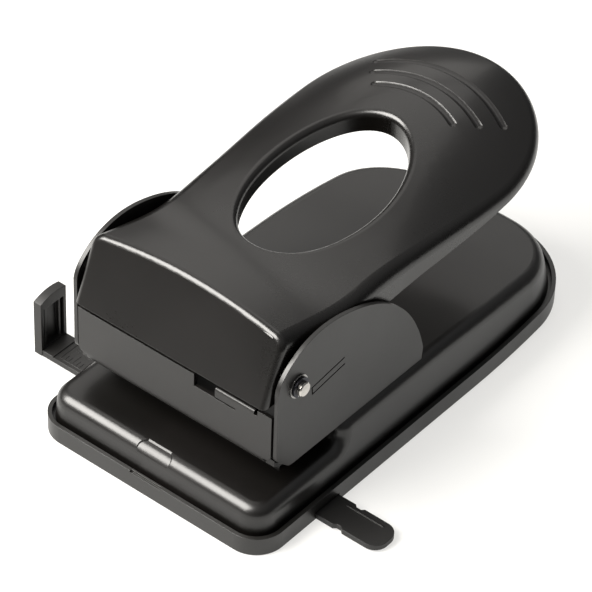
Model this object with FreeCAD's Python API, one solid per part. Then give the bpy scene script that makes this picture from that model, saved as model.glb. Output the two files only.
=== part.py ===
import FreeCAD, Part
import math
import os

os.makedirs("parts", exist_ok=True)
V = FreeCAD.Vector

# Two-hole office punch. Millimetres, +Z up, +Y to the rear, symmetric about X = 0 apart from the paper
# guide. The origin is the middle of the tray's length and width, on the plane its feet stand on.
# Lengths along the punch are stated from the tray's front edge and moved by FRONT.

# ---- driving dimensions ----
TRAY_LENGTH = 244.8
TRAY_HALF_WIDTH = 65.0
FRONT = -TRAY_LENGTH / 2
TRAY_BOTTOM = 0.6
TRAY_RIM = 9.8
TRAY_WALL = 2.0
LEDGE = 7.0
CORNER_R = 14.7
SIDE_STRAIGHT = 150.0
SIDE_ARC_R = 610.0
REAR_ARC_R = 600.0
REAR_CORNER_R = 46.6

PAN_INSET = 3.4
PAN_SHEET = 1.5
PAN_BOTTOM = 7.1
TABLE = 22.5
PLATFORM = 34.0
STEP_START = 55.0
STEP_END = 68.0
PAN_ROLL = 6.0
PAN_REAR_CORNER_R = 37.0
DROOP_START = 118.0
DROOP_R = 700.0
REAR_LEAN = 0.40
PAN_LEAN = 2.6

FRAME_FRONT = 18.3
FRAME_REAR = 112.0
FRAME_SHEET = 2.0
CHEEK_OUT = 57.2
FRONT_PLATE_HALF = 54.3
FRONT_PLATE_TOP = 65.4
BOTTOM_PLATE = 34.0
FRONT_BEND_R = 8.2

PIVOT_Y = 31.4
PIVOT_Z = 77.2
PIVOT_R = 3.5
PIVOT_END = 61.4
RUNNING = 0.05

HOLE_SPACING = 80.0
PUNCH_Y = 49.0
PUNCH_R = 2.75
PUNCH_TIP = 34.2
DIE_TOP = 26.5
PRESS_ARM = 29.0
PRESS_ROD_R = 4.0
PRESS_ROD_Z = 75.35
CARRIER_TOP = 71.2
CARRIER_THICK = 4.0
SPRING_FOOT = 44.0

GUIDE_Y0 = 37.0
GUIDE_Y1 = 53.0
GUIDE_BOTTOM = 1.3
GUIDE_TOP = 3.9
GUIDE_LEFT = -98.5
GUIDE_RIGHT = 98.9

HANDLE_HALF = 53.4
HANDLE_WAIST = 80.0
HANDLE_SHEET = 1.4
HANDLE_ROLL = 7.0
HANDLE_END_CENTRE = 172.0
HANDLE_END_R = 58.5
HANDLE_END_LONG = 65.5
HOLE_CENTRE = 117.5
HOLE_HALF_X = 29.0
HOLE_HALF_Y = 46.5
COLLAR = 10.5
EDGE_ROUND = 3.0

# Three pressed grip arcs: rearmost Y from the tray front, arc radius, half angle in radians.
GRIP_GROOVES = [(207.5, 80.5, 0.47), (194.6, 76.3, 0.406), (184.1, 56.0, 0.41)]
GROOVE_R = 3.0
GROOVE_DEPTH = 0.8

# Height of the handle's ridge and how far its sides fall, along the punch.
RIDGE = [(-5, 109.5), (29, 106.6), (50, 101.6), (71, 98.6), (90, 100.6), (111, 104.6), (139, 109.2),
         (167, 112.4), (185, 113.4), (200, 112.6), (215, 110.2), (255, 97.0)]
FALL = [(-5, 0.0018), (29, 0.0018), (71, 0.0020), (90, 0.0023), (111, 0.0034), (139, 0.0045),
        (167, 0.0053), (200, 0.0058), (255, 0.0060)]


# ---- helpers ----
def at(y):
    return FRONT + y


def box(x0, x1, y0, y1, z0, z1):
    return Part.makeBox(x1 - x0, y1 - y0, z1 - z0, V(x0, y0, z0))


def rod_x(r, x0, x1, y, z):
    return Part.makeCylinder(r, x1 - x0, V(x0, y, z), V(1, 0, 0))


def rod_z(r, z0, z1, x, y):
    return Part.makeCylinder(r, z1 - z0, V(x, y, z0), V(0, 0, 1))


def ring_x(r_in, r_out, x0, x1, y, z):
    return rod_x(r_out, x0, x1, y, z).cut(rod_x(r_in, x0 - 1, x1 + 1, y, z))


def ring_z(r_in, r_out, z0, z1, x, y):
    return rod_z(r_out, z0, z1, x, y).cut(rod_z(r_in, z0 - 1, z1 + 1, x, y))


def mirrored(shape):
    return shape.mirror(V(0, 0, 0), V(1, 0, 0))


def both_sides(shape):
    return Part.Compound([shape, mirrored(shape)])


def side_profile(points, x0, x1):
    corners = [V(x0, y, z) for y, z in points]
    face = Part.Face(Part.makePolygon(corners + corners[:1]))
    return face.extrude(V(x1 - x0, 0, 0))


def value_along(table, y):
    curve = Part.BSplineCurve()
    curve.interpolate([V(a, b, 0) for a, b in table])
    hit = curve.intersectCC(Part.LineSegment(V(y, -500, 0), V(y, 500, 0)))
    return hit[0].Y


def save(name, shape):
    solids = shape.Solids
    good = all(s.isValid() and s.Volume > 0 for s in solids)
    print(name, len(solids), "solids", round(shape.Volume, 1), "ok" if good else "INVALID")
    out = solids[0] if len(solids) == 1 else Part.Compound(solids)
    out.exportStep("parts/" + name + ".step")


def plan(inset, z0, z1, rear_corner=REAR_CORNER_R, shorter=0.0):
    # Tray outline: straight front, straight sides that bow in to a gently curved rear end.
    w = TRAY_HALF_WIDTH - inset
    front = FRONT + inset
    rear = FRONT + TRAY_LENGTH - inset - shorter
    s = at(SIDE_STRAIGHT)
    side_r = SIDE_ARC_R - inset
    rear_r = REAR_ARC_R - inset
    cx = w - side_r
    cy = rear - rear_r
    # Where the side bow meets the rear bow.
    gap = math.hypot(cx, cy - s)
    along = (side_r ** 2 - rear_r ** 2 + gap ** 2) / (2 * gap)
    off = math.sqrt(side_r ** 2 - along ** 2)
    ux = -cx / gap
    uy = (cy - s) / gap
    corner_x = cx + along * ux + off * (-uy if -uy * off > 0 else uy)
    corner_y = s + along * uy + off * abs(ux)
    if corner_x < 0 or corner_y < s:
        corner_x = cx + along * ux + off * uy
        corner_y = s + along * uy + off * abs(ux)
    corner_y = cy + math.sqrt(rear_r ** 2 - corner_x ** 2)
    half = math.atan2(corner_y - s, corner_x - cx) / 2
    mid = V(cx + side_r * math.cos(half), s + side_r * math.sin(half), 0)
    corner = V(corner_x, corner_y, 0)
    right = Part.Arc(V(w, s, 0), mid, corner).toShape()
    left = Part.Arc(V(-corner_x, corner_y, 0), V(-mid.x, mid.y, 0), V(-w, s, 0)).toShape()
    back = Part.Arc(corner, V(0, rear, 0), V(-corner_x, corner_y, 0)).toShape()
    a = V(-w, front, 0)
    b = V(w, front, 0)
    lines = [Part.makeLine(V(-w, s, 0), a), Part.makeLine(a, b), Part.makeLine(b, V(w, s, 0))]
    wire = Part.Wire([lines[0], lines[1], lines[2], right, back, left])
    solid = Part.Face(wire).extrude(V(0, 0, z1 - z0))
    solid.translate(V(0, 0, z0))
    fronts = []
    rears = []
    for e in solid.Edges:
        p = e.Vertexes[0].Point
        q = e.Vertexes[-1].Point
        if abs(p.z - q.z) < 1:
            continue
        if abs(p.y - front) < 0.1:
            fronts.append(e)
        elif abs(p.y - corner_y) < 0.1:
            rears.append(e)
    solid = solid.makeFillet(CORNER_R - inset, fronts)
    rears = []
    for e in solid.Edges:
        p = e.Vertexes[0].Point
        q = e.Vertexes[-1].Point
        if abs(p.z - q.z) > 1 and abs(p.y - corner_y) < 0.1 and abs(abs(p.x) - corner_x) < 0.1:
            rears.append(e)
    return solid.makeFillet(rear_corner - inset, rears)


# ---- tray ----
def chip_tray():
    body = plan(0, TRAY_BOTTOM, TRAY_RIM)
    body = body.cut(plan(TRAY_WALL, LEDGE, TRAY_RIM + 1))
    cavity = plan(TRAY_WALL + 3.0, TRAY_BOTTOM + 2.0, LEDGE + 1)
    cavity = cavity.cut(box(-70, 70, at(GUIDE_Y0 - 2.4), at(GUIDE_Y1 + 2.4), 0, GUIDE_TOP + 1.9))
    body = body.cut(cavity)
    # Channel for the guide bar, open below between two retaining lips.
    body = body.cut(box(-70, 70, at(GUIDE_Y0 - 0.3), at(GUIDE_Y1 + 0.3), 1.1, GUIDE_TOP + 0.7))
    body = body.cut(box(-70, 70, at(GUIDE_Y0 + 1.0), at(GUIDE_Y1 - 1.0), 0, 2))
    # Pocket above the bar for its leaf spring.
    body = body.cut(box(-20, 20, at(43), at(47), GUIDE_TOP, GUIDE_TOP + 0.8))
    # Centre mark in the front rim.
    body = body.cut(box(-8.5, 8.5, FRONT - 1, FRONT + 1.1, TRAY_RIM - 1.0, TRAY_RIM + 1))
    for x, y in foot_places():
        body = body.cut(rod_z(6.1, 0, 1.6, x, y))
    return body


def foot_places():
    return [(-52, at(16)), (52, at(16)), (-46, at(214)), (46, at(214))]


def tray_feet():
    return Part.Compound([rod_z(6.0, 0, 1.6, x, y) for x, y in foot_places()])


def guide_leaf():
    # Shallow bowed leaf that presses on the bar.
    top = GUIDE_TOP + 0.8
    pts = [V(-19, 0, top - 0.35), V(0, 0, GUIDE_TOP + 0.25), V(19, 0, top - 0.35)]
    low = Part.Arc(pts[0], pts[1], pts[2]).toShape()
    high = Part.Arc(V(19, 0, top - 0.05), V(0, 0, GUIDE_TOP + 0.55), V(-19, 0, top - 0.05)).toShape()
    ends = [Part.makeLine(pts[2], V(19, 0, top - 0.05)), Part.makeLine(V(-19, 0, top - 0.05), pts[0])]
    face = Part.Face(Part.Wire([low, ends[0], high, ends[1]]))
    leaf = face.extrude(V(0, 3.4, 0))
    leaf.translate(V(0, at(43.3), 0))
    return leaf


def paper_guide():
    bar = box(GUIDE_LEFT + 1, GUIDE_RIGHT, at(GUIDE_Y0), at(GUIDE_Y1), GUIDE_BOTTOM, GUIDE_TOP)
    tip = [e for e in bar.Edges if e.BoundBox.ZLength > 2 and e.BoundBox.XMin > GUIDE_RIGHT - 1]
    bar = bar.makeFillet(6.6, tip)
    # Shallow trapezoid notches in both edges of the tongue.
    for y, s in [(GUIDE_Y0, 1), (GUIDE_Y1, -1)]:
        corners = [V(74.5, at(y), 0), V(75.8, at(y + 1.2 * s), 0), V(78.2, at(y + 1.2 * s), 0), V(79.5, at(y), 0)]
        wedge = Part.Face(Part.makePolygon(corners + corners[:1])).extrude(V(0, 0, 6))
        bar = bar.cut(wedge)
    # Finger ledge along the tongue's rear edge.
    ridge = box(72, 92, at(GUIDE_Y1 - 3.4), at(GUIDE_Y1 - 2.6), GUIDE_TOP - 0.1, GUIDE_TOP + 0.4)
    bar = bar.fuse(ridge)
    # Upright stop: a block with an arched top and, on its inner face, a tall pocket between two ribs.
    mid = at((GUIDE_Y0 + GUIDE_Y1) / 2)
    half = 8.3
    x0 = GUIDE_LEFT
    x1 = GUIDE_LEFT + 4.4
    upright = box(x0, x1, mid - half, mid + half, GUIDE_BOTTOM, 31.4)
    crown = rod_x(24, x0, x1, mid + 2.0, 33.4 - 24)
    upright = upright.fuse(crown.common(box(-120, -60, mid - half, mid + half, 20, 40)))
    upright = upright.cut(box(-120, -60, mid - 20, mid + 20, 30.2, 45).cut(crown))
    pocket = box(x0 + 1.8, x1 + 1, mid - half + 1.7, mid + half - 1.7, 5.2, 27.5)
    ribs = [box(x0 + 1.7, x1 - 0.8, y - 0.55, y + 0.55, 4, 28) for y in (mid - 4.6, mid + 4.6)]
    upright = upright.cut(pocket)
    for rib in ribs:
        upright = upright.fuse(rib)
    # Raised pad at the foot of the upright.
    pad = box(x0 + 2, x0 + 11, mid - 8, mid + 8, GUIDE_TOP - 0.2, GUIDE_TOP + 0.5)
    whole = bar.fuse(upright).fuse(pad)
    return whole.removeSplitter()


# ---- base ----
def pan_wire(inset, shorter, z, corner):
    # The foot outline of a thin plan slab, moved up to z.
    slab = plan(PAN_INSET + inset, 0, 9, corner, shorter)
    for f in slab.Faces:
        if f.BoundBox.ZMax < 0.01:
            wire = f.OuterWire.copy()
            wire.translate(V(0, 0, z))
            return wire


def pan_side(inset, top_drop, grow):
    # Side outline: table, S-shaped step, platform that droops towards the rear.
    y0 = FRONT
    t = TABLE - top_drop
    p = PLATFORM - top_drop
    a = at(STEP_START) + inset
    b = at(STEP_END) + inset
    m = V(0, (a + b) / 2, (t + p) / 2)
    h = (b - a) / 2
    k = (p - t) / 2
    r = (h * h + k * k) / (2 * k)
    half = math.asin(h / r) / 2
    low_mid = V(0, a + r * math.sin(half), t + r * (1 - math.cos(half)))
    high_mid = V(0, b - (low_mid.y - a), p - (low_mid.z - t))
    d0 = at(DROOP_START)
    d1 = at(250)
    droop = [V(0, y, p - (y - d0) ** 2 / (2 * DROOP_R)) for y in (d0, (d0 + d1) / 2, d1)]
    foot = PAN_BOTTOM - grow
    e = [Part.makeLine(V(0, y0, foot), V(0, y0, t)), Part.makeLine(V(0, y0, t), V(0, a, t)),
         Part.Arc(V(0, a, t), low_mid, m).toShape(), Part.Arc(m, high_mid, V(0, b, p)).toShape(),
         Part.makeLine(V(0, b, p), droop[0]), Part.Arc(droop[0], droop[1], droop[2]).toShape(),
         Part.makeLine(droop[2], V(0, d1, foot)), Part.makeLine(V(0, d1, foot), V(0, y0, foot))]
    face = Part.Face(Part.Wire(e))
    face.translate(V(-80, 0, 0))
    return face.extrude(V(160, 0, 0))


def pan_body(inset, drop, grow, roll):
    foot = PAN_BOTTOM - grow
    lean = REAR_LEAN * (PLATFORM + 2 - foot)
    low = pan_wire(inset, 0, foot, REAR_CORNER_R)
    high = pan_wire(inset + PAN_LEAN, lean, PLATFORM + 2, PAN_REAR_CORNER_R)
    body = Part.makeLoft([low, high], True, True)
    body = body.common(pan_side(inset * 0.4, drop, grow))
    # Roll every edge of the top faces, but not the cross lines of the step itself.
    edges = []
    for e in body.Edges:
        c = e.BoundBox
        across = c.XLength > 100 and c.YLength < 1 and c.YMin > at(50)
        if c.ZMin > TABLE - drop - 7 and c.ZMax - c.ZMin < 14 and c.ZMax > TABLE - drop - 6 and not across:
            if not (c.XLength < 4 and c.YLength < 6 and c.ZLength > 8):
                edges.append(e)
    return body.makeFillet(roll, edges)


def centre_dimple():
    # Shallow pressed mark in the middle of the front roll.
    mid = V(0, FRONT + PAN_INSET + PAN_ROLL, TABLE - PAN_ROLL)
    out = V(0, -math.sqrt(0.5), math.sqrt(0.5))
    corners = []
    for x, d in [(-15.5, 9.5), (-6.5, 3.5), (6.5, 3.5), (15.5, 9.5)]:
        corners.append(mid + V(x, 0, 0) + out * d)
    face = Part.Face(Part.makePolygon(corners + corners[:1]))
    along = V(0, math.sqrt(0.5), math.sqrt(0.5))
    face.translate(along * -7)
    # The roll keeps its roundness inside the mark and only sits deeper.
    pressed = mid - out * 0.9
    return face.extrude(along * 14).cut(rod_x(PAN_ROLL, -20, 20, pressed.y, pressed.z))


def base_pan():
    pan = pan_body(0, 0, 0, PAN_ROLL)
    inner = pan_body(PAN_SHEET, PAN_SHEET, 1, PAN_ROLL - PAN_SHEET)
    pan = pan.cut(inner).cut(centre_dimple())
    for x in (-HOLE_SPACING / 2, HOLE_SPACING / 2):
        pan = pan.cut(rod_z(4.5, 10, 40, x, at(PUNCH_Y)))
    for x, y in die_rivet_places():
        pan = pan.cut(rod_z(1.6, 10, 30, x, y))
    for x, y in frame_rivet_places():
        pan = pan.cut(rod_z(2.1, 20, 40, x, y))
    return pan


def die_rivet_places():
    return [(x, at(y)) for x in (-24, 24) for y in (40, 50)]


def frame_rivet_places():
    return [(x, at(y)) for x in (-40, 40) for y in (78, 102)]


def die_plate():
    plate = box(-47.5, 47.5, at(33), at(54.6), TABLE, DIE_TOP)
    edge = [e for e in plate.Edges if e.BoundBox.XLength > 90 and e.BoundBox.ZMin > DIE_TOP - 0.1
            and e.BoundBox.YMin < at(34)]
    plate = plate.makeChamfer(3.0, edge)
    for x in (-HOLE_SPACING / 2, HOLE_SPACING / 2):
        plate = plate.cut(rod_z(PUNCH_R + 0.05, 20, 30, x, at(PUNCH_Y)))
        plate = plate.cut(rod_z(3.6, TABLE - 1, DIE_TOP - 2.5, x, at(PUNCH_Y)))
    for x, y in die_rivet_places():
        plate = plate.cut(rod_z(1.6, 20, 30, x, y))
        plate = plate.cut(rod_z(3.1, DIE_TOP - 1.2, 30, x, y))
    return plate


def die_rivets():
    out = []
    for x, y in die_rivet_places():
        shank = rod_z(1.6, TABLE - 1.5, DIE_TOP - 0.2, x, y)
        head = rod_z(3.1, DIE_TOP - 1.2, DIE_TOP - 0.2, x, y)
        foot = rod_z(2.8, TABLE - 2.7, TABLE - 1.5, x, y)
        out.append(shank.fuse(head).fuse(foot))
    return Part.Compound(out)


def cheek():
    # Right cheek seen from the side: straight front, long round crown, bevelled lower front corner.
    y = at
    crown_points = [V(0, y(18.8), 79.4), V(0, y(19.9), 83.2), V(0, y(24.0), 88.6), V(0, y(34.0), 95.1),
                    V(0, y(48.1), 98.0), V(0, y(67.0), 95.1), V(0, y(85.4), 87.2), V(0, y(101.0), 74.8),
                    V(0, y(113.3), 56.4), V(0, y(119.0), 40.5)]
    crown = Part.BSplineCurve()
    crown.interpolate(crown_points)
    foot = BOTTOM_PLATE
    lower = [crown_points[-1], V(0, y(118.4), foot), V(0, y(27.5), foot), V(0, y(18.8), 42.2), crown_points[0]]
    edges = [crown.toShape()]
    for i in range(4):
        edges.append(Part.makeLine(lower[i], lower[i + 1]))
    face = Part.Face(Part.Wire(edges))
    plate = face.extrude(V(FRAME_SHEET, 0, 0))
    plate.translate(V(CHEEK_OUT - FRAME_SHEET, 0, 0))
    corner = [e for e in plate.Edges if e.BoundBox.XLength > 1 and abs(e.BoundBox.ZMin - 42.2) < 0.1]
    corner += [e for e in plate.Edges if e.BoundBox.XLength > 1 and abs(e.BoundBox.YMin - y(27.5)) < 0.1]
    plate = plate.makeFillet(5.0, corner)
    x0 = CHEEK_OUT - FRAME_SHEET - 1
    plate = plate.cut(rod_x(PIVOT_R + 0.02, x0, CHEEK_OUT + 1, y(PIVOT_Y), PIVOT_Z))
    # Slim lanced tongue: a slit on three sides.
    for z0, z1, a, b in [(0, 0.7, 0, 22), (3.8, 4.5, 0, 22), (0, 4.5, 0, 0.7)]:
        slit = box(x0, CHEEK_OUT + 1, a, b, z0, z1)
        slit.rotate(V(0, 0, 0), V(1, 0, 0), 7.5)
        slit.translate(V(0, y(41.3), 65.1))
        plate = plate.cut(slit)
    return plate


def punch_frame():
    x_in = CHEEK_OUT - FRAME_SHEET
    t = FRAME_SHEET
    f = at(FRAME_FRONT)
    r = FRONT_BEND_R
    # Bottom plate and front plate joined by a bend.
    z = BOTTOM_PLATE
    outer = Part.Arc(V(0, f + r, z), V(0, f + r * (1 - math.sin(math.pi / 4)), z + r * (1 - math.cos(math.pi / 4))),
                     V(0, f, z + r)).toShape()
    q = r - t
    inner = Part.Arc(V(0, f + t, z + r), V(0, f + r - q * math.sin(math.pi / 4), z + r - q * math.cos(math.pi / 4)),
                     V(0, f + r, z + t)).toShape()
    top = FRONT_PLATE_TOP
    rear = at(FRAME_REAR)
    e = [outer, Part.makeLine(V(0, f, z + r), V(0, f, top)), Part.makeLine(V(0, f, top), V(0, f + t, top)),
         Part.makeLine(V(0, f + t, top), V(0, f + t, z + r)), inner,
         Part.makeLine(V(0, f + r, z + t), V(0, rear, z + t)), Part.makeLine(V(0, rear, z + t), V(0, rear, z)),
         Part.makeLine(V(0, rear, z), V(0, f + r, z))]
    face = Part.Face(Part.Wire(e))
    face.translate(V(-FRONT_PLATE_HALF, 0, 0))
    sheet = face.extrude(V(2 * FRONT_PLATE_HALF, 0, 0))
    # Rounded lower corners of the front plate.
    for s in (-1, 1):
        block = box(min(s * 49.75, s * 56), max(s * 49.75, s * 56), f - 1, f + t + 0.5, z - 1, z + r + 3)
        keep = Part.makeCylinder(5.0, 6, V(s * 49.75, f - 2, z + r + 3), V(0, 1, 0))
        cut = block.cut(keep)
        sheet = sheet.cut(cut.common(box(-60, 60, f - 1, f + r - 3, z - 1, z + r + 3)))
    # Floor strips that reach the cheeks behind the bend.
    floor = box(-x_in, x_in, f + r + 2, rear, z, z + t)
    frame = sheet.fuse(floor)
    # Notch, slit and turned-in tab at the right of the front plate.
    frame = frame.cut(box(11.6, 23.2, f - 1, f + t + 1, 58.9, top + 1))
    frame = frame.cut(box(23.0, 34.5, f - 1, f + t + 1, 58.6, 59.4))
    frame = frame.cut(box(44.6, 46.6, f - 1, f + t + 1, 62.4, top + 1))
    frame = frame.cut(box(23.2, 44.6, f - 1, f + t + 1, 62.6, top + 1))
    tab = box(23.2, 44.6, f, f + 8, 61.9, 64.4)
    edge = [e2 for e2 in tab.Edges if e2.BoundBox.XLength > 10 and e2.BoundBox.YMax < f + 0.1
            and e2.BoundBox.ZMin > 64]
    frame = frame.fuse(tab.makeFillet(1.6, edge))
    for side in (cheek(), mirrored(cheek())):
        frame = frame.fuse(side)
    for x in (-HOLE_SPACING / 2, HOLE_SPACING / 2):
        frame = frame.cut(rod_z(5.0, 30, 41, x, at(PUNCH_Y)))
    for x, y in frame_rivet_places():
        frame = frame.cut(rod_z(2.1, 30, 41, x, y))
    # Lightening window between the rivets.
    window = box(-26, 26, at(72), at(104), 30, 41)
    frame = frame.cut(window)
    return frame.removeSplitter()


def frame_rivets():
    out = []
    for x, y in frame_rivet_places():
        shank = rod_z(2.1, PLATFORM - 1.5, PLATFORM + FRAME_SHEET, x, y)
        head = Part.makeSphere(4.6, V(x, y, PLATFORM + FRAME_SHEET - 2.2))
        head = head.common(rod_z(5, PLATFORM + FRAME_SHEET, PLATFORM + 10, x, y))
        foot = rod_z(3.6, PLATFORM - 2.9, PLATFORM - 1.5, x, y)
        out.append(shank.fuse(head).fuse(foot))
    return Part.Compound(out)


def guide_bushes():
    out = []
    for x in (-HOLE_SPACING / 2, HOLE_SPACING / 2):
        bush = rod_z(5.0, BOTTOM_PLATE, SPRING_FOOT, x, at(PUNCH_Y))
        bush = bush.fuse(rod_z(6.5, BOTTOM_PLATE + FRAME_SHEET, BOTTOM_PLATE + FRAME_SHEET + 2.5, x, at(PUNCH_Y)))
        out.append(bush.cut(rod_z(PUNCH_R + RUNNING, 30, 60, x, at(PUNCH_Y))))
    return Part.Compound(out)


def pivot_pin():
    pin = rod_x(PIVOT_R, -PIVOT_END, PIVOT_END, at(PIVOT_Y), PIVOT_Z)
    ends = [e for e in pin.Edges if e.BoundBox.XLength < 0.1]
    pin = pin.makeChamfer(0.5, ends)
    for x0 in (-CHEEK_OUT - 2.1, CHEEK_OUT + 1.1):
        pin = pin.cut(ring_x(PIVOT_R - 0.6, PIVOT_R + 1, x0, x0 + 1.0, at(PIVOT_Y), PIVOT_Z))
    return pin


def pivot_washers():
    return both_sides(ring_x(PIVOT_R + 0.1, 5.6, CHEEK_OUT, CHEEK_OUT + 0.9, at(PIVOT_Y), PIVOT_Z))


def open_ring(r_in, r_out, x0, x1, y, z, mouth):
    ring = ring_x(r_in, r_out, x0, x1, y, z)
    return ring.cut(box(x0 - 1, x1 + 1, y - mouth, y + mouth, z - r_out - 1, z - r_in * 0.5))


def pivot_rings():
    return both_sides(open_ring(PIVOT_R - 0.58, 4.9, CHEEK_OUT + 1.2, CHEEK_OUT + 2.0, at(PIVOT_Y), PIVOT_Z, 2.0))


def spacer_sleeves():
    return both_sides(ring_x(PIVOT_R + RUNNING, 5.2, 53.6, 55.0, at(PIVOT_Y), PIVOT_Z))


def bump_stops():
    out = []
    for x in (-46, 46):
        out.append(rod_z(3.5, BOTTOM_PLATE + FRAME_SHEET, BOTTOM_PLATE + FRAME_SHEET + 4, x, at(92)))
    return Part.Compound(out)


# ---- punches ----
def punch_pin(side):
    x = side * HOLE_SPACING / 2
    y = at(PUNCH_Y)
    pin = rod_z(PUNCH_R, PUNCH_TIP, CARRIER_TOP - CARRIER_THICK, x, y)
    pin = pin.fuse(rod_z(2.0, CARRIER_TOP - CARRIER_THICK, CARRIER_TOP + 1.8, x, y))
    # Hollow-ground cutting end: a saddle that leaves two points.
    pin = pin.cut(Part.makeCylinder(3.4, 20, V(x - 10, y, PUNCH_TIP - 2.5), V(1, 0, 0)))
    pin = pin.cut(ring_z(1.6, 3, CARRIER_TOP + 0.3, CARRIER_TOP + 1.1, x, y))
    return pin


def punch_rings():
    out = []
    for x in (-HOLE_SPACING / 2, HOLE_SPACING / 2):
        ring = ring_z(1.62, 3.6, CARRIER_TOP + 0.35, CARRIER_TOP + 1.05, x, at(PUNCH_Y))
        out.append(ring.cut(box(x - 1.3, x + 1.3, at(PUNCH_Y) - 5, at(PUNCH_Y) - 0.8, 60, 90)))
    return Part.Compound(out)


def punch_carrier():
    y = at(PUNCH_Y)
    z0 = CARRIER_TOP - CARRIER_THICK
    beam = box(-47, 47, y - 5.5, at(PIVOT_Y + PRESS_ARM) + 6, z0, CARRIER_TOP)
    corners = [e for e in beam.Edges if e.BoundBox.ZLength > 3]
    beam = beam.makeFillet(3.0, corners)
    beam = beam.cut(box(-28, 28, y - 10, y + 1, z0 - 1, CARRIER_TOP + 1))
    for x in (-HOLE_SPACING / 2, HOLE_SPACING / 2):
        beam = beam.cut(rod_z(2.0, 60, 80, x, y))
    return beam


def punch_spring(side):
    x = side * HOLE_SPACING / 2
    y = at(PUNCH_Y)
    wire = 0.6
    z0 = SPRING_FOOT + wire
    height = CARRIER_TOP - CARRIER_THICK - wire - z0
    helix = Part.makeHelix(height / 6, height, 4.4)
    helix.translate(V(x, y, z0))
    start = helix.Edges[0].valueAt(helix.Edges[0].FirstParameter)
    heading = helix.Edges[0].tangentAt(helix.Edges[0].FirstParameter)
    loop = Part.Wire(Part.makeCircle(wire, start, heading))
    return Part.Wire(helix.Edges).makePipeShell([loop], True, True)


# ---- handle ----
def crown_above(drop):
    ridge_at = [(y, value_along(RIDGE, y), value_along(FALL, y)) for y in range(0, 251, 10)]
    grid = []
    for x in range(-72, 73, 9):
        grid.append([V(x, at(y), ridge - drop - fall * x * x) for y, ridge, fall in ridge_at])
    surface = Part.BSplineSurface()
    surface.interpolate(grid)
    return surface.toShape().extrude(V(0, 0, 80))


def handle_plan(inset, z0, z1):
    w = HANDLE_HALF - inset
    r = HANDLE_END_R - inset
    y0 = at(HANDLE_WAIST)
    y1 = at(HANDLE_END_CENTRE)
    pull = (y1 - y0) * 0.36
    curve = Part.BezierCurve()
    curve.setPoles([V(w, y0, 0), V(w, y0 + pull, 0), V(r, y1 - pull, 0), V(r, y1, 0)])
    edge = curve.toShape()
    straight = Part.makeLine(V(w, at(10), 0), V(w, y0, 0))
    left = mirrored(edge)
    oval = Part.Ellipse(V(0, y1 + HANDLE_END_LONG - inset, 0), V(r, y1, 0), V(0, y1, 0))
    end = Part.ArcOfEllipse(oval, -math.pi / 2, math.pi / 2).toShape()
    front = Part.makeLine(V(-w, at(10), 0), V(w, at(10), 0))
    wire = Part.Wire(Part.__sortEdges__([front, straight, edge, end, left, mirrored(straight)]))
    solid = Part.Face(wire).extrude(V(0, 0, z1 - z0))
    solid.translate(V(0, 0, z0))
    return solid


def handle_block(inset, drop, roll):
    # Solid under the crowned saddle, with its upper edge rolled over.
    block = handle_plan(inset, 55, 125).cut(crown_above(drop))
    edges = []
    for e in block.Edges:
        mid = e.valueAt((e.FirstParameter + e.LastParameter) / 2)
        if mid.z > 60 and e.BoundBox.ZMax - e.BoundBox.ZMin < 30 and abs(mid.y - at(10)) > 1:
            if not (abs(mid.z - 90) < 40 and e.BoundBox.XLength < 0.01 and e.BoundBox.YLength < 0.01):
                edges.append(e)
    return block.makeFillet(roll, edges)


def front_cut(shift):
    # Space in front of the slanted panel, which leans back as it rises.
    return side_profile([(at(0), 40), (at(14.8 - 13.2) + shift, 40), (at(26.9 + 8.8) + shift, 123), (at(0), 123)],
                        -70, 70)


def below_skirt():
    return side_profile([(at(0), 30), (at(0), 71.3), (at(14), 71.3), (at(60), 73.6), (at(117), 82.0),
                         (at(240), 96.8), (at(240), 30)], -70, 70)


def finger_hole(grow, z0, z1):
    ellipse = Part.Ellipse(V(0, at(HOLE_CENTRE), z0), HOLE_HALF_Y + grow, HOLE_HALF_X + grow)
    edge = ellipse.toShape()
    edge.rotate(V(0, at(HOLE_CENTRE), z0), V(0, 0, 1), 90)
    return Part.Face(Part.Wire(edge)).extrude(V(0, 0, z1 - z0))


def handle_shell():
    t = HANDLE_SHEET
    outer = handle_block(0, 0, HANDLE_ROLL).cut(front_cut(0)).cut(finger_hole(0, 50, 130))
    rounded = []
    for e in outer.Edges:
        b = e.BoundBox
        crease = b.YMax < at(32) and b.ZMin > 85 and b.XLength > 3
        rim = b.ZMin > 90 and abs(b.YLength - 2 * HOLE_HALF_Y) < 1
        if crease or rim:
            rounded.append(e)
    outer = outer.makeFillet(EDGE_ROUND, rounded)
    inner = handle_block(t, t, HANDLE_ROLL - t)
    # Turned-down collar round the finger hole.
    inner = inner.cut(front_cut(t * 1.08))
    inner = inner.cut(finger_hole(t, 50, 130).cut(under_crown(COLLAR)))
    shell = outer.cut(inner)
    shell = shell.cut(below_skirt())
    for rear, radius, half in GRIP_GROOVES:
        shell = shell.cut(grip_groove(rear, radius, half))
    shell = shell.cut(rod_x(PIVOT_R + 0.35, -70, 70, at(PIVOT_Y), PIVOT_Z))
    for x, y, z in shell_rivet_places():
        shell = shell.cut(rod_x(1.6, x - 5, x + 5, y, z))
    return shell


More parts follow.
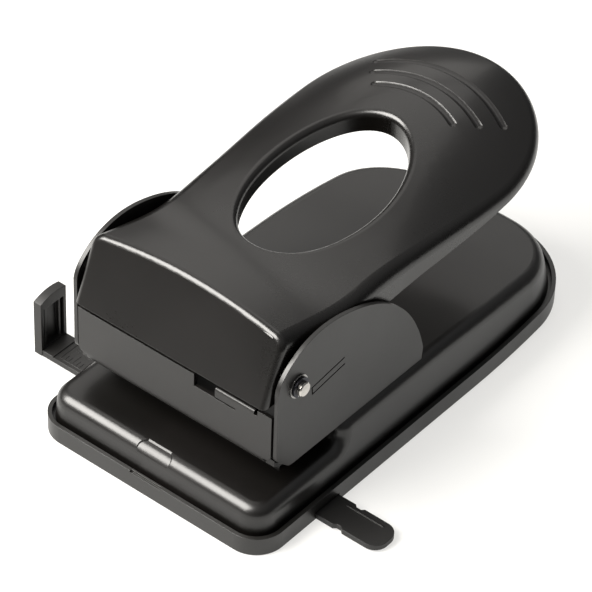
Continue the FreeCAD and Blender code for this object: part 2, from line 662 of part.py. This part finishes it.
def grip_groove(rear, radius, half):
    # Round-bottomed channel that follows an arc over the crown, with ball-shaped ends.
    points = []
    for i in range(-4, 5):
        turn = half * i / 4
        x = radius * math.sin(turn)
        y = rear - radius + radius * math.cos(turn)
        z = value_along(RIDGE, y) - value_along(FALL, y) * x * x + GROOVE_R - GROOVE_DEPTH
        points.append(V(x, at(y), z))
    path = Part.BSplineCurve()
    path.interpolate(points)
    start = path.tangent(path.FirstParameter)[0]
    ring = Part.Wire(Part.makeCircle(GROOVE_R, points[0], start))
    tube = Part.Wire(path.toShape()).makePipeShell([ring], True, False)
    for end in (points[0], points[-1]):
        tube = tube.fuse(Part.makeSphere(GROOVE_R, end))
    return tube


def under_crown(drop):
    block = box(-60, 60, at(12), at(236), 40, 125)
    return block.cut(crown_above(drop))


def press_frame():
    t = 2.0
    x1 = HANDLE_HALF - HANDLE_SHEET - 0.3
    y = at
    ear = side_profile([(y(24), 74), (y(24), 84), (y(33), 92), (y(74), 92), (y(74), 84), (y(64), 72.5),
                        (y(34), 72.5)], x1 - t, x1)
    ear = ear.cut(rod_x(PIVOT_R + RUNNING, x1 - t - 1, x1 + 1, y(PIVOT_Y), PIVOT_Z))
    ear = ear.cut(rod_x(PRESS_ROD_R - 0.8, x1 - t - 1, x1 + 1, y(PIVOT_Y + PRESS_ARM), PRESS_ROD_Z))
    web = box(-x1, x1, y(38), y(66), 90, 92)
    frame = web.fuse(ear).fuse(mirrored(ear)).common(handle_block(HANDLE_SHEET, HANDLE_SHEET, HANDLE_ROLL - 1.4))
    for x, yy, z in shell_rivet_places():
        frame = frame.cut(rod_x(1.6, x - 6, x + 6, yy, z))
    return frame.removeSplitter()


def shell_rivet_places():
    return [(s * 52.5, at(a), 86.5) for s in (-1, 1) for a in (40, 66)]


def shell_rivets():
    out = []
    for x, y, z in shell_rivet_places():
        s = 1 if x > 0 else -1
        shank = rod_x(1.6, min(s * 49.9, s * 53.4), max(s * 49.9, s * 53.4), y, z)
        head = rod_x(2.8, min(s * 53.4, s * 54.2), max(s * 53.4, s * 54.2), y, z)
        foot = rod_x(2.6, min(s * 48.7, s * 49.7), max(s * 48.7, s * 49.7), y, z)
        out.append(shank.fuse(head).fuse(foot).fuse(rod_x(1.6, min(s * 49, s * 53), max(s * 49, s * 53), y, z)))
    return Part.Compound(out)


def press_rod():
    y = at(PIVOT_Y + PRESS_ARM)
    rod = rod_x(PRESS_ROD_R, -49.5, 49.5, y, PRESS_ROD_Z)
    return rod.fuse(rod_x(PRESS_ROD_R - 0.85, -51.7, 51.7, y, PRESS_ROD_Z))


def build():
    save("chip_tray", chip_tray())
    save("tray_feet", tray_feet())
    save("guide_leaf", guide_leaf())
    save("paper_guide", paper_guide())
    save("base_pan", base_pan())
    save("die_plate", die_plate())
    save("die_rivets", die_rivets())
    save("punch_frame", punch_frame())
    save("frame_rivets", frame_rivets())
    save("guide_bushes", guide_bushes())
    save("pivot_pin", pivot_pin())
    save("pivot_washers", pivot_washers())
    save("pivot_rings", pivot_rings())
    save("spacer_sleeves", spacer_sleeves())
    save("bump_stops", bump_stops())
    save("punch_pin_left", punch_pin(-1))
    save("punch_pin_right", punch_pin(1))
    save("punch_rings", punch_rings())
    save("punch_carrier", punch_carrier())
    save("punch_spring_left", punch_spring(-1))
    save("punch_spring_right", punch_spring(1))
    save("press_frame", press_frame())
    save("press_rod", press_rod())
    save("shell_rivets", shell_rivets())
    save("handle_shell", handle_shell())


build()
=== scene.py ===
import math

import bpy
from mathutils import Matrix, Vector


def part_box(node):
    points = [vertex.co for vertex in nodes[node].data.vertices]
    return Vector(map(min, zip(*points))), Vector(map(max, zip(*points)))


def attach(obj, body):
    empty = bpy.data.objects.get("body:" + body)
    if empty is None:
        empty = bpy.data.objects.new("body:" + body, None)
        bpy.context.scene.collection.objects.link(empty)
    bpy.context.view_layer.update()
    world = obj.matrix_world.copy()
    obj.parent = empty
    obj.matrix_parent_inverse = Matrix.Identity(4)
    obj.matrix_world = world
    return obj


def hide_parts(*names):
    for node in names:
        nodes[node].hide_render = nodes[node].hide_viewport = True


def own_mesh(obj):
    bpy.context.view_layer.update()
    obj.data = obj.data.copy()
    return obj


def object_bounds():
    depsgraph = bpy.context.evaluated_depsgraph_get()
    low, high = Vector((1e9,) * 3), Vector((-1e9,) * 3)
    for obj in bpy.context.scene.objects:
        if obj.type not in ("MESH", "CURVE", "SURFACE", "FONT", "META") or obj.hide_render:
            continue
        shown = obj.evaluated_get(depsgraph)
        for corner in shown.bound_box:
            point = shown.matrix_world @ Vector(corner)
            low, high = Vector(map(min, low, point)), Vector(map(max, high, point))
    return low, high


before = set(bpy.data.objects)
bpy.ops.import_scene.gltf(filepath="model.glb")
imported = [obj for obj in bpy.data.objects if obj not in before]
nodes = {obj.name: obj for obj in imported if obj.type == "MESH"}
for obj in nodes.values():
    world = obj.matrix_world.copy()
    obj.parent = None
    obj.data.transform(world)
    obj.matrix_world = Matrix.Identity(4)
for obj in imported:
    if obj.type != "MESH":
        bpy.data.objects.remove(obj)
cad_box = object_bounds()
MM = 0.001


# ---- colours and shader nodes ----
def linear(code):
    """sRGB hex colour as linear RGBA."""
    parts = [int(code[i:i + 2], 16) / 255 for i in (1, 3, 5)]
    return [c / 12.92 if c <= 0.04045 else ((c + 0.055) / 1.055) ** 2.4 for c in parts] + [1.0]


def shade(code, factor):
    """A lighter or darker tone of a hex colour."""
    parts = [min(255, round(int(code[i:i + 2], 16) * factor)) for i in (1, 3, 5)]
    return "#%02x%02x%02x" % tuple(parts)


def add(tree, kind, links=(), stops=(), **settings):
    """One shader node: settings by socket name or attribute, ramp stops, links as (node, output, input)."""
    node = tree.nodes.new(kind)
    for name, value in settings.items():
        label = name.replace("_", " ")
        if label in node.inputs:
            node.inputs[label].default_value = value
        else:
            setattr(node, name, value)
    for i, (position, colour) in enumerate(stops):
        node.color_ramp.elements[i].position = position
        node.color_ramp.elements[i].color = colour
    for source, output, socket in links:
        tree.links.new(source.outputs[output], node.inputs[socket])
    return node


def new_material(name):
    """An empty material, its node tree, and the link that feeds a pattern its Object coordinates."""
    mat = bpy.data.materials.new(name)
    mat.use_nodes = True
    tree = mat.node_tree
    tree.nodes.clear()
    return mat, tree, [(add(tree, "ShaderNodeTexCoord"), "Object", "Vector")]


def noise_scale(size_mm):
    """Scale of a noise whose patches are about size_mm across."""
    return 1.0 / (size_mm * MM * 1.6)


def two_tones(low, high):
    """Ramp stops from one hex colour to another over the middle of a noise value."""
    return (0.35, linear(low)), (0.65, linear(high))


# Most of a noise value lies in this range, which is stretched over a roughness range.
NOISE_MIDDLE = {"From_Min": 0.3, "From_Max": 0.7}
EDGE_SAMPLES = 4


# ---- finishes ----
def baked_enamel(name, base, rough, peel_mm, peel, gloss, edge_mm=0.35):
    # Sprayed and baked enamel on pressed steel: deep black, soft highlights, a faint orange peel
    # and a thin clear gloss on top. Settled dust dulls it in fine specks.
    dust_roughness = 0.05
    mat, tree, place = new_material(name)
    cloud = add(tree, "ShaderNodeTexNoise", place, Scale=noise_scale(38), Detail=4.0, Roughness=0.5)
    dimples = add(tree, "ShaderNodeTexNoise", place, Scale=noise_scale(peel_mm), Detail=2.0, Roughness=0.5)
    dust = add(tree, "ShaderNodeTexNoise", place, Scale=noise_scale(0.9), Detail=2.0, Roughness=0.6)
    tone = add(tree, "ShaderNodeValToRGB", [(cloud, "Fac", "Fac")], two_tones(base, shade(base, 1.22)))
    cured = add(tree, "ShaderNodeMapRange", [(cloud, "Fac", "Value")], To_Min=rough[0], To_Max=rough[1],
                **NOISE_MIDDLE)
    dulled = add(tree, "ShaderNodeMath", [(dust, "Fac", 0), (cured, 0, 2)], operation="MULTIPLY_ADD")
    dulled.inputs[1].default_value = dust_roughness
    edge = add(tree, "ShaderNodeBevel", Radius=edge_mm * MM, samples=EDGE_SAMPLES)
    bump = add(tree, "ShaderNodeBump", [(dimples, "Fac", "Height"), (edge, "Normal", "Normal")],
               Strength=peel, Distance=0.02 * MM)
    skin = add(tree, "ShaderNodeBsdfPrincipled",
               [(tone, "Color", "Base Color"), (dulled, 0, "Roughness"), (bump, "Normal", "Normal")],
               IOR=1.5, Metallic=0.0, Coat_Weight=gloss, Coat_Roughness=0.12, Coat_IOR=1.5)
    add(tree, "ShaderNodeOutputMaterial", [(skin, "BSDF", "Surface")])
    return mat


def moulded_abs(name, base, grain_mm, depth, rough):
    # Injection-moulded ABS with a spark-eroded grain: matt black with a soft sheen on its edges.
    mat, tree, place = new_material(name)
    pits = add(tree, "ShaderNodeTexVoronoi", place, Scale=1.0 / (grain_mm * MM))
    cloud = add(tree, "ShaderNodeTexNoise", place, Scale=noise_scale(24), Detail=3.0, Roughness=0.5)
    tone = add(tree, "ShaderNodeValToRGB", [(cloud, "Fac", "Fac")], two_tones(base, shade(base, 1.25)))
    sheen = add(tree, "ShaderNodeMapRange", [(cloud, "Fac", "Value")], To_Min=rough - 0.05,
                To_Max=rough + 0.06, **NOISE_MIDDLE)
    edge = add(tree, "ShaderNodeBevel", Radius=0.45 * MM, samples=EDGE_SAMPLES)
    bump = add(tree, "ShaderNodeBump", [(pits, "Distance", "Height"), (edge, "Normal", "Normal")],
               Strength=depth, Distance=0.03 * MM)
    skin = add(tree, "ShaderNodeBsdfPrincipled",
               [(tone, "Color", "Base Color"), (sheen, 0, "Roughness"), (bump, "Normal", "Normal")],
               IOR=1.53, Metallic=0.0)
    add(tree, "ShaderNodeOutputMaterial", [(skin, "BSDF", "Surface")])
    return mat


def turned_steel(name, base, rough, line_mm, along="X"):
    # Turned or ground steel, plain, nickel-plated or blued: bright, with fine rings left by the tool.
    mat, tree, place = new_material(name)
    rings = add(tree, "ShaderNodeTexWave", place, Scale=1.0 / (line_mm * MM * 3.1), Distortion=1.5,
                Detail=2.0, bands_direction=along)
    cloud = add(tree, "ShaderNodeTexNoise", place, Scale=noise_scale(6), Detail=3.0, Roughness=0.5)
    tone = add(tree, "ShaderNodeValToRGB", [(cloud, "Fac", "Fac")], two_tones(shade(base, 0.86), base))
    polish = add(tree, "ShaderNodeMapRange", [(cloud, "Fac", "Value")], To_Min=rough, To_Max=rough + 0.12,
                 **NOISE_MIDDLE)
    edge = add(tree, "ShaderNodeBevel", Radius=0.3 * MM, samples=EDGE_SAMPLES)
    bump = add(tree, "ShaderNodeBump", [(rings, "Fac", "Height"), (edge, "Normal", "Normal")],
               Strength=0.25, Distance=0.01 * MM)
    skin = add(tree, "ShaderNodeBsdfPrincipled",
               [(tone, "Color", "Base Color"), (polish, 0, "Roughness"), (bump, "Normal", "Normal")],
               Metallic=1.0)
    add(tree, "ShaderNodeOutputMaterial", [(skin, "BSDF", "Surface")])
    return mat


def soft_rubber(name, base):
    # Moulded rubber: dull, slightly chalky, with fine pores.
    mat, tree, place = new_material(name)
    pores = add(tree, "ShaderNodeTexNoise", place, Scale=noise_scale(0.5), Detail=4.0, Roughness=0.7)
    cloud = add(tree, "ShaderNodeTexNoise", place, Scale=noise_scale(9), Detail=3.0, Roughness=0.5)
    tone = add(tree, "ShaderNodeValToRGB", [(cloud, "Fac", "Fac")], two_tones(base, shade(base, 1.4)))
    bump = add(tree, "ShaderNodeBump", [(pores, "Fac", "Height")], Strength=0.4, Distance=0.05 * MM)
    chalk = add(tree, "ShaderNodeMapRange", [(pores, "Fac", "Value")], To_Min=0.72, To_Max=0.88,
                **NOISE_MIDDLE)
    skin = add(tree, "ShaderNodeBsdfPrincipled",
               [(tone, "Color", "Base Color"), (chalk, 0, "Roughness"), (bump, "Normal", "Normal")],
               IOR=1.52, Metallic=0.0)
    add(tree, "ShaderNodeOutputMaterial", [(skin, "BSDF", "Surface")])
    return mat


handle_enamel = baked_enamel("black_baked_enamel_on_handle", "#070605", rough=(0.24, 0.29),
                             peel_mm=1.6, peel=0.04, gloss=0.12)
pan_enamel = baked_enamel("black_gloss_enamel_on_base_pan", "#070605", rough=(0.30, 0.36),
                          peel_mm=2.2, peel=0.03, gloss=0.12)
frame_enamel = baked_enamel("black_satin_enamel_on_frame", "#070605", rough=(0.36, 0.43),
                            peel_mm=1.1, peel=0.07, gloss=0.03, edge_mm=0.3)
# Blackened steel has the build of the enamel without its gloss, and a stronger texture.
die_black = baked_enamel("blackened_steel_die_plate", "#121212", rough=(0.42, 0.50),
                         peel_mm=0.8, peel=0.15, gloss=0.0, edge_mm=0.25)
tray_abs = moulded_abs("black_grained_abs_tray", "#0c0b0a", grain_mm=0.7, depth=0.25, rough=0.40)
guide_abs = moulded_abs("black_grained_abs_guide", "#0a0908", grain_mm=0.6, depth=0.30, rough=0.50)
nickel = turned_steel("nickel_plated_turned_steel", "#d2cfc9", rough=0.16, line_mm=0.25)
ground = turned_steel("ground_punch_steel", "#a9a8a6", rough=0.22, line_mm=0.2, along="Z")
blued = turned_steel("blued_spring_steel", "#3c3d42", rough=0.34, line_mm=0.4, along="Z")
rubber = soft_rubber("black_rubber", "#1b1b1b")

FINISH = {
    "chip_tray": tray_abs, "tray_feet": rubber, "guide_leaf": blued, "paper_guide": guide_abs,
    "base_pan": pan_enamel, "die_plate": die_black, "die_rivets": blued, "punch_frame": frame_enamel,
    "frame_rivets": blued, "guide_bushes": ground, "pivot_pin": nickel, "pivot_washers": ground,
    "pivot_rings": blued, "spacer_sleeves": ground, "bump_stops": rubber, "punch_pin_left": ground,
    "punch_pin_right": ground, "punch_rings": blued, "punch_carrier": blued, "punch_spring_left": ground,
    "punch_spring_right": ground, "press_frame": frame_enamel, "press_rod": nickel,
    "shell_rivets": blued, "handle_shell": handle_enamel,
}
for node_name, piece in nodes.items():
    piece.data.materials.clear()
    piece.data.materials.append(FINISH[node_name])


# ---- pieces modelled on top of the frame ----
def fresh():
    """Leave edit mode with nothing selected, so that the next operator acts on one piece only."""
    if bpy.context.object and bpy.context.object.mode != "OBJECT":
        bpy.ops.object.mode_set(mode="OBJECT")
    bpy.ops.object.select_all(action="DESELECT")


def settle(piece, name, body, finish):
    """Put a finished piece's place into its mesh and let it ride on its body."""
    fresh()
    piece.select_set(True)
    bpy.context.view_layer.objects.active = piece
    bpy.ops.object.transform_apply(location=True, rotation=True, scale=True)
    bpy.ops.object.shade_smooth_by_angle(angle=math.radians(32))
    piece.name = name
    piece.data.materials.clear()
    piece.data.materials.append(finish)
    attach(piece, body)


def soften(piece, width_mm):
    """Round every sharp edge with an applied bevel."""
    bevel = piece.modifiers.new("soft_edges", "BEVEL")
    bevel.width = width_mm * MM
    bevel.segments = 3
    bevel.limit_method = "ANGLE"
    bevel.angle_limit = math.radians(30)
    bpy.context.view_layer.objects.active = piece
    bpy.ops.object.modifier_apply(modifier=bevel.name)


def raised_line(x, y, z, long, wide):
    """A softened moulded line in the bar's face: its place in metres, long and wide in millimetres."""
    fresh()
    bpy.ops.mesh.primitive_cube_add(size=1.0, location=(x, y, z))
    piece = bpy.context.object
    piece.scale = (long * MM, wide * MM, LINE_HEIGHT * MM)
    piece.select_set(True)
    bpy.ops.object.transform_apply(location=True, rotation=True, scale=True)
    soften(piece, LINE_SOFTNESS)
    return piece


def joined(pieces):
    fresh()
    for piece in pieces:
        piece.select_set(True)
    bpy.context.view_layer.objects.active = pieces[0]
    bpy.ops.object.join()
    return bpy.context.object


# The scale beside the upright stop, in millimetres. Half of a line's height stands above the bar's face.
SCALE_START = 13.5
SCALE_END = 33
SCALE_HALF_WIDTH = 5.9
GRADUATION_FOOT = 5.6
LINE_HEIGHT = 0.22
LINE_SOFTNESS = 0.08
BORDER_LINE = 0.45
THIN_LINE = 0.4
GRADUATIONS = 9


def bar_top(low, high):
    """Height of the guide bar's upper face in the middle of the scale."""
    above = Vector((low.x + 24 * MM, (low.y + high.y) / 2, low.z + 12 * MM))
    _, place, _, _ = nodes["paper_guide"].ray_cast(above, Vector((0, 0, -1)))
    return place.z


def guide_scale():
    # Moulded scale on the bar: a thin border, graduation lines and two rows of short dashes.
    low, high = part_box("paper_guide")
    left = low.x + SCALE_START * MM
    right = low.x + SCALE_END * MM
    centre = (left + right) / 2
    middle = low.y + (high.y - low.y) / 2
    top = bar_top(low, high)
    lines = []
    for y in (-SCALE_HALF_WIDTH, SCALE_HALF_WIDTH):
        lines.append(raised_line(centre, middle + y * MM, top, (right - left) / MM, BORDER_LINE))
    for x in (left, right):
        lines.append(raised_line(x, middle, top, BORDER_LINE, 12.2))
    for i in range(1, GRADUATIONS):
        x = left + (right - left) * i / GRADUATIONS
        length = 6.4 if i % 3 == 0 else 3.6
        lines.append(raised_line(x, middle - (GRADUATION_FOOT - length / 2) * MM, top, THIN_LINE, length))
    for i in range(3):
        x = left + (right - left) * (0.17 + 0.33 * i)
        lines.append(raised_line(x, middle + 3.4 * MM, top, 3.0, THIN_LINE))
        lines.append(raised_line(x, middle + 1.9 * MM, top, 2.0 + 0.5 * i, THIN_LINE))
    settle(joined(lines), "guide_scale", "guide", guide_abs)


def return_spring(side):
    # Coil of plain wire round the punch, made by sweeping a wire section in a screw.
    node = "punch_spring_" + side
    low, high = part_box(node)
    wire = 0.6 * MM
    coil = (high.x - low.x) / 2 - wire
    foot = Vector(((low.x + high.x) / 2, (low.y + high.y) / 2, low.z + wire))
    turns = 6
    rise = high.z - low.z - 2 * wire
    fresh()
    bpy.ops.mesh.primitive_circle_add(vertices=12, radius=wire, rotation=(math.pi / 2, 0, 0),
                                      location=(coil, 0, 0))
    piece = bpy.context.object
    bpy.ops.object.transform_apply(location=True, rotation=True, scale=True)
    piece.location = foot
    screw = piece.modifiers.new("coil", "SCREW")
    screw.axis = "Z"
    screw.steps = 28
    screw.render_steps = 28
    screw.iterations = turns
    screw.screw_offset = rise / turns
    screw.use_merge_vertices = False
    bpy.ops.object.modifier_apply(modifier=screw.name)
    bpy.ops.object.mode_set(mode="EDIT")
    bpy.ops.mesh.select_all(action="SELECT")
    bpy.ops.mesh.remove_doubles(threshold=0.01 * MM)
    bpy.ops.mesh.fill_holes(sides=16)
    bpy.ops.mesh.select_all(action="SELECT")
    bpy.ops.mesh.normals_make_consistent(inside=False)
    bpy.ops.object.mode_set(mode="OBJECT")
    settle(piece, "return_spring_" + side, "punches", ground)
    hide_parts(node)
    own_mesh(piece)


guide_scale()
for side in ("left", "right"):
    return_spring(side)


# ---- studio ----
def lit_table(name, base, glow):
    # Translucent white shooting table, lit from below so that shadows on it stay faint.
    mat, tree, place = new_material(name)
    cloud = add(tree, "ShaderNodeTexNoise", place, Scale=3.0, Detail=2.0)
    tone = add(tree, "ShaderNodeValToRGB", [(cloud, "Fac", "Fac")], two_tones(base, shade(base, 1.02)))
    skin = add(tree, "ShaderNodeBsdfPrincipled", [(tone, "Color", "Base Color")], Roughness=0.9,
               Emission_Color=linear("#fffefb"), Emission_Strength=glow)
    add(tree, "ShaderNodeOutputMaterial", [(skin, "BSDF", "Surface")])
    return mat


def backdrop():
    fresh()
    bpy.ops.mesh.primitive_circle_add(vertices=96, radius=600 * MM, fill_type="NGON",
                                      location=(0, 0, cad_box[0].z))
    floor = bpy.context.object
    floor.name = "seamless_floor"
    floor.data.transform(floor.matrix_world)
    floor.matrix_world = Matrix.Identity(4)
    floor.data.materials.append(lit_table("lit_white_acrylic", "#959594", 0.66))


def softbox(name, place, width, height, watts):
    """A soft area light that faces the middle of the object, in metres."""
    data = bpy.data.lights.new(name, "AREA")
    data.shape = "RECTANGLE"
    data.size = width
    data.size_y = height
    data.energy = watts
    data.color = linear("#fffcf7")[:3]
    lamp = bpy.data.objects.new(name, data)
    bpy.context.scene.collection.objects.link(lamp)
    lamp.location = place
    lamp.rotation_mode = "QUATERNION"
    lamp.rotation_quaternion = (Vector((0, 0, 0.05)) - Vector(place)).to_track_quat("-Z", "Y")


def dim_room():
    # The room is dim, a little brighter overhead, and what the lens sees of it is as pale as paper.
    world = bpy.data.worlds.new("dim_room")
    bpy.context.scene.world = world
    world.use_nodes = True
    room = world.node_tree
    place = add(room, "ShaderNodeTexCoord")
    split = add(room, "ShaderNodeSeparateXYZ", [(place, "Generated", 0)])
    height = add(room, "ShaderNodeMapRange", [(split, "Z", "Value")], interpolation_type="SMOOTHSTEP",
                 From_Min=0.1, From_Max=0.9, To_Min=0.10, To_Max=0.38)
    seen = add(room, "ShaderNodeLightPath")
    strength = add(room, "ShaderNodeMath", [(height, 0, 0), (seen, "Is Camera Ray", 1)], operation="MAXIMUM")
    sky = room.nodes["Background"]
    sky.inputs["Color"].default_value = linear("#ffffff")
    room.links.new(strength.outputs[0], sky.inputs["Strength"])


def studio():
    backdrop()
    softbox("key_softbox", (-0.60, -0.83, 1.05), width=1.15, height=1.0, watts=74)
    softbox("back_left_softbox", (-0.65, 0.80, 1.35), width=1.2, height=1.2, watts=5.0)
    softbox("rear_strip", (-0.95, 1.25, 0.62), width=0.9, height=0.45, watts=1.3)
    dim_room()


def camera():
    # Long lens, looking down at the front right corner. Angles in degrees, lengths in millimetres, and
    # the focal length as a multiple of the picture's width.
    azimuth, elevation, tilt = 38.2388, 40.6163, 2.04855
    distance, sideways, upwards = 1534.415, 19.9899, 29.0596
    focal_in_widths = 3500 / 592
    turn = math.radians(azimuth)
    rise = math.radians(elevation)
    roll = math.radians(tilt)
    back = Vector((math.sin(turn) * math.cos(rise), -math.cos(turn) * math.cos(rise), math.sin(rise)))
    right = (-back).cross(Vector((0, 0, 1))).normalized()
    up = right.cross(-back)
    side = right * math.cos(roll) + up * math.sin(roll)
    head = -right * math.sin(roll) + up * math.cos(roll)
    tray_low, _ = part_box("chip_tray")
    target = Vector((0, tray_low.y + 70 * MM, tray_low.z + 30 * MM))
    place = target + back * (distance * MM) + side * (sideways * MM) + head * (upwards * MM)
    lens = bpy.data.cameras.new("studio_camera")
    lens.sensor_width = 36
    lens.lens = lens.sensor_width * focal_in_widths
    lens.clip_start = 0.05
    lens.clip_end = 50
    stand = bpy.data.objects.new("studio_camera", lens)
    bpy.context.scene.collection.objects.link(stand)
    stand.matrix_world = Matrix.Translation(place) @ Matrix((side, head, back)).transposed().to_4x4()
    bpy.context.scene.camera = stand


studio()
camera()
bpy.context.scene.view_settings.view_transform = "Standard"

bpy.context.view_layer.update()
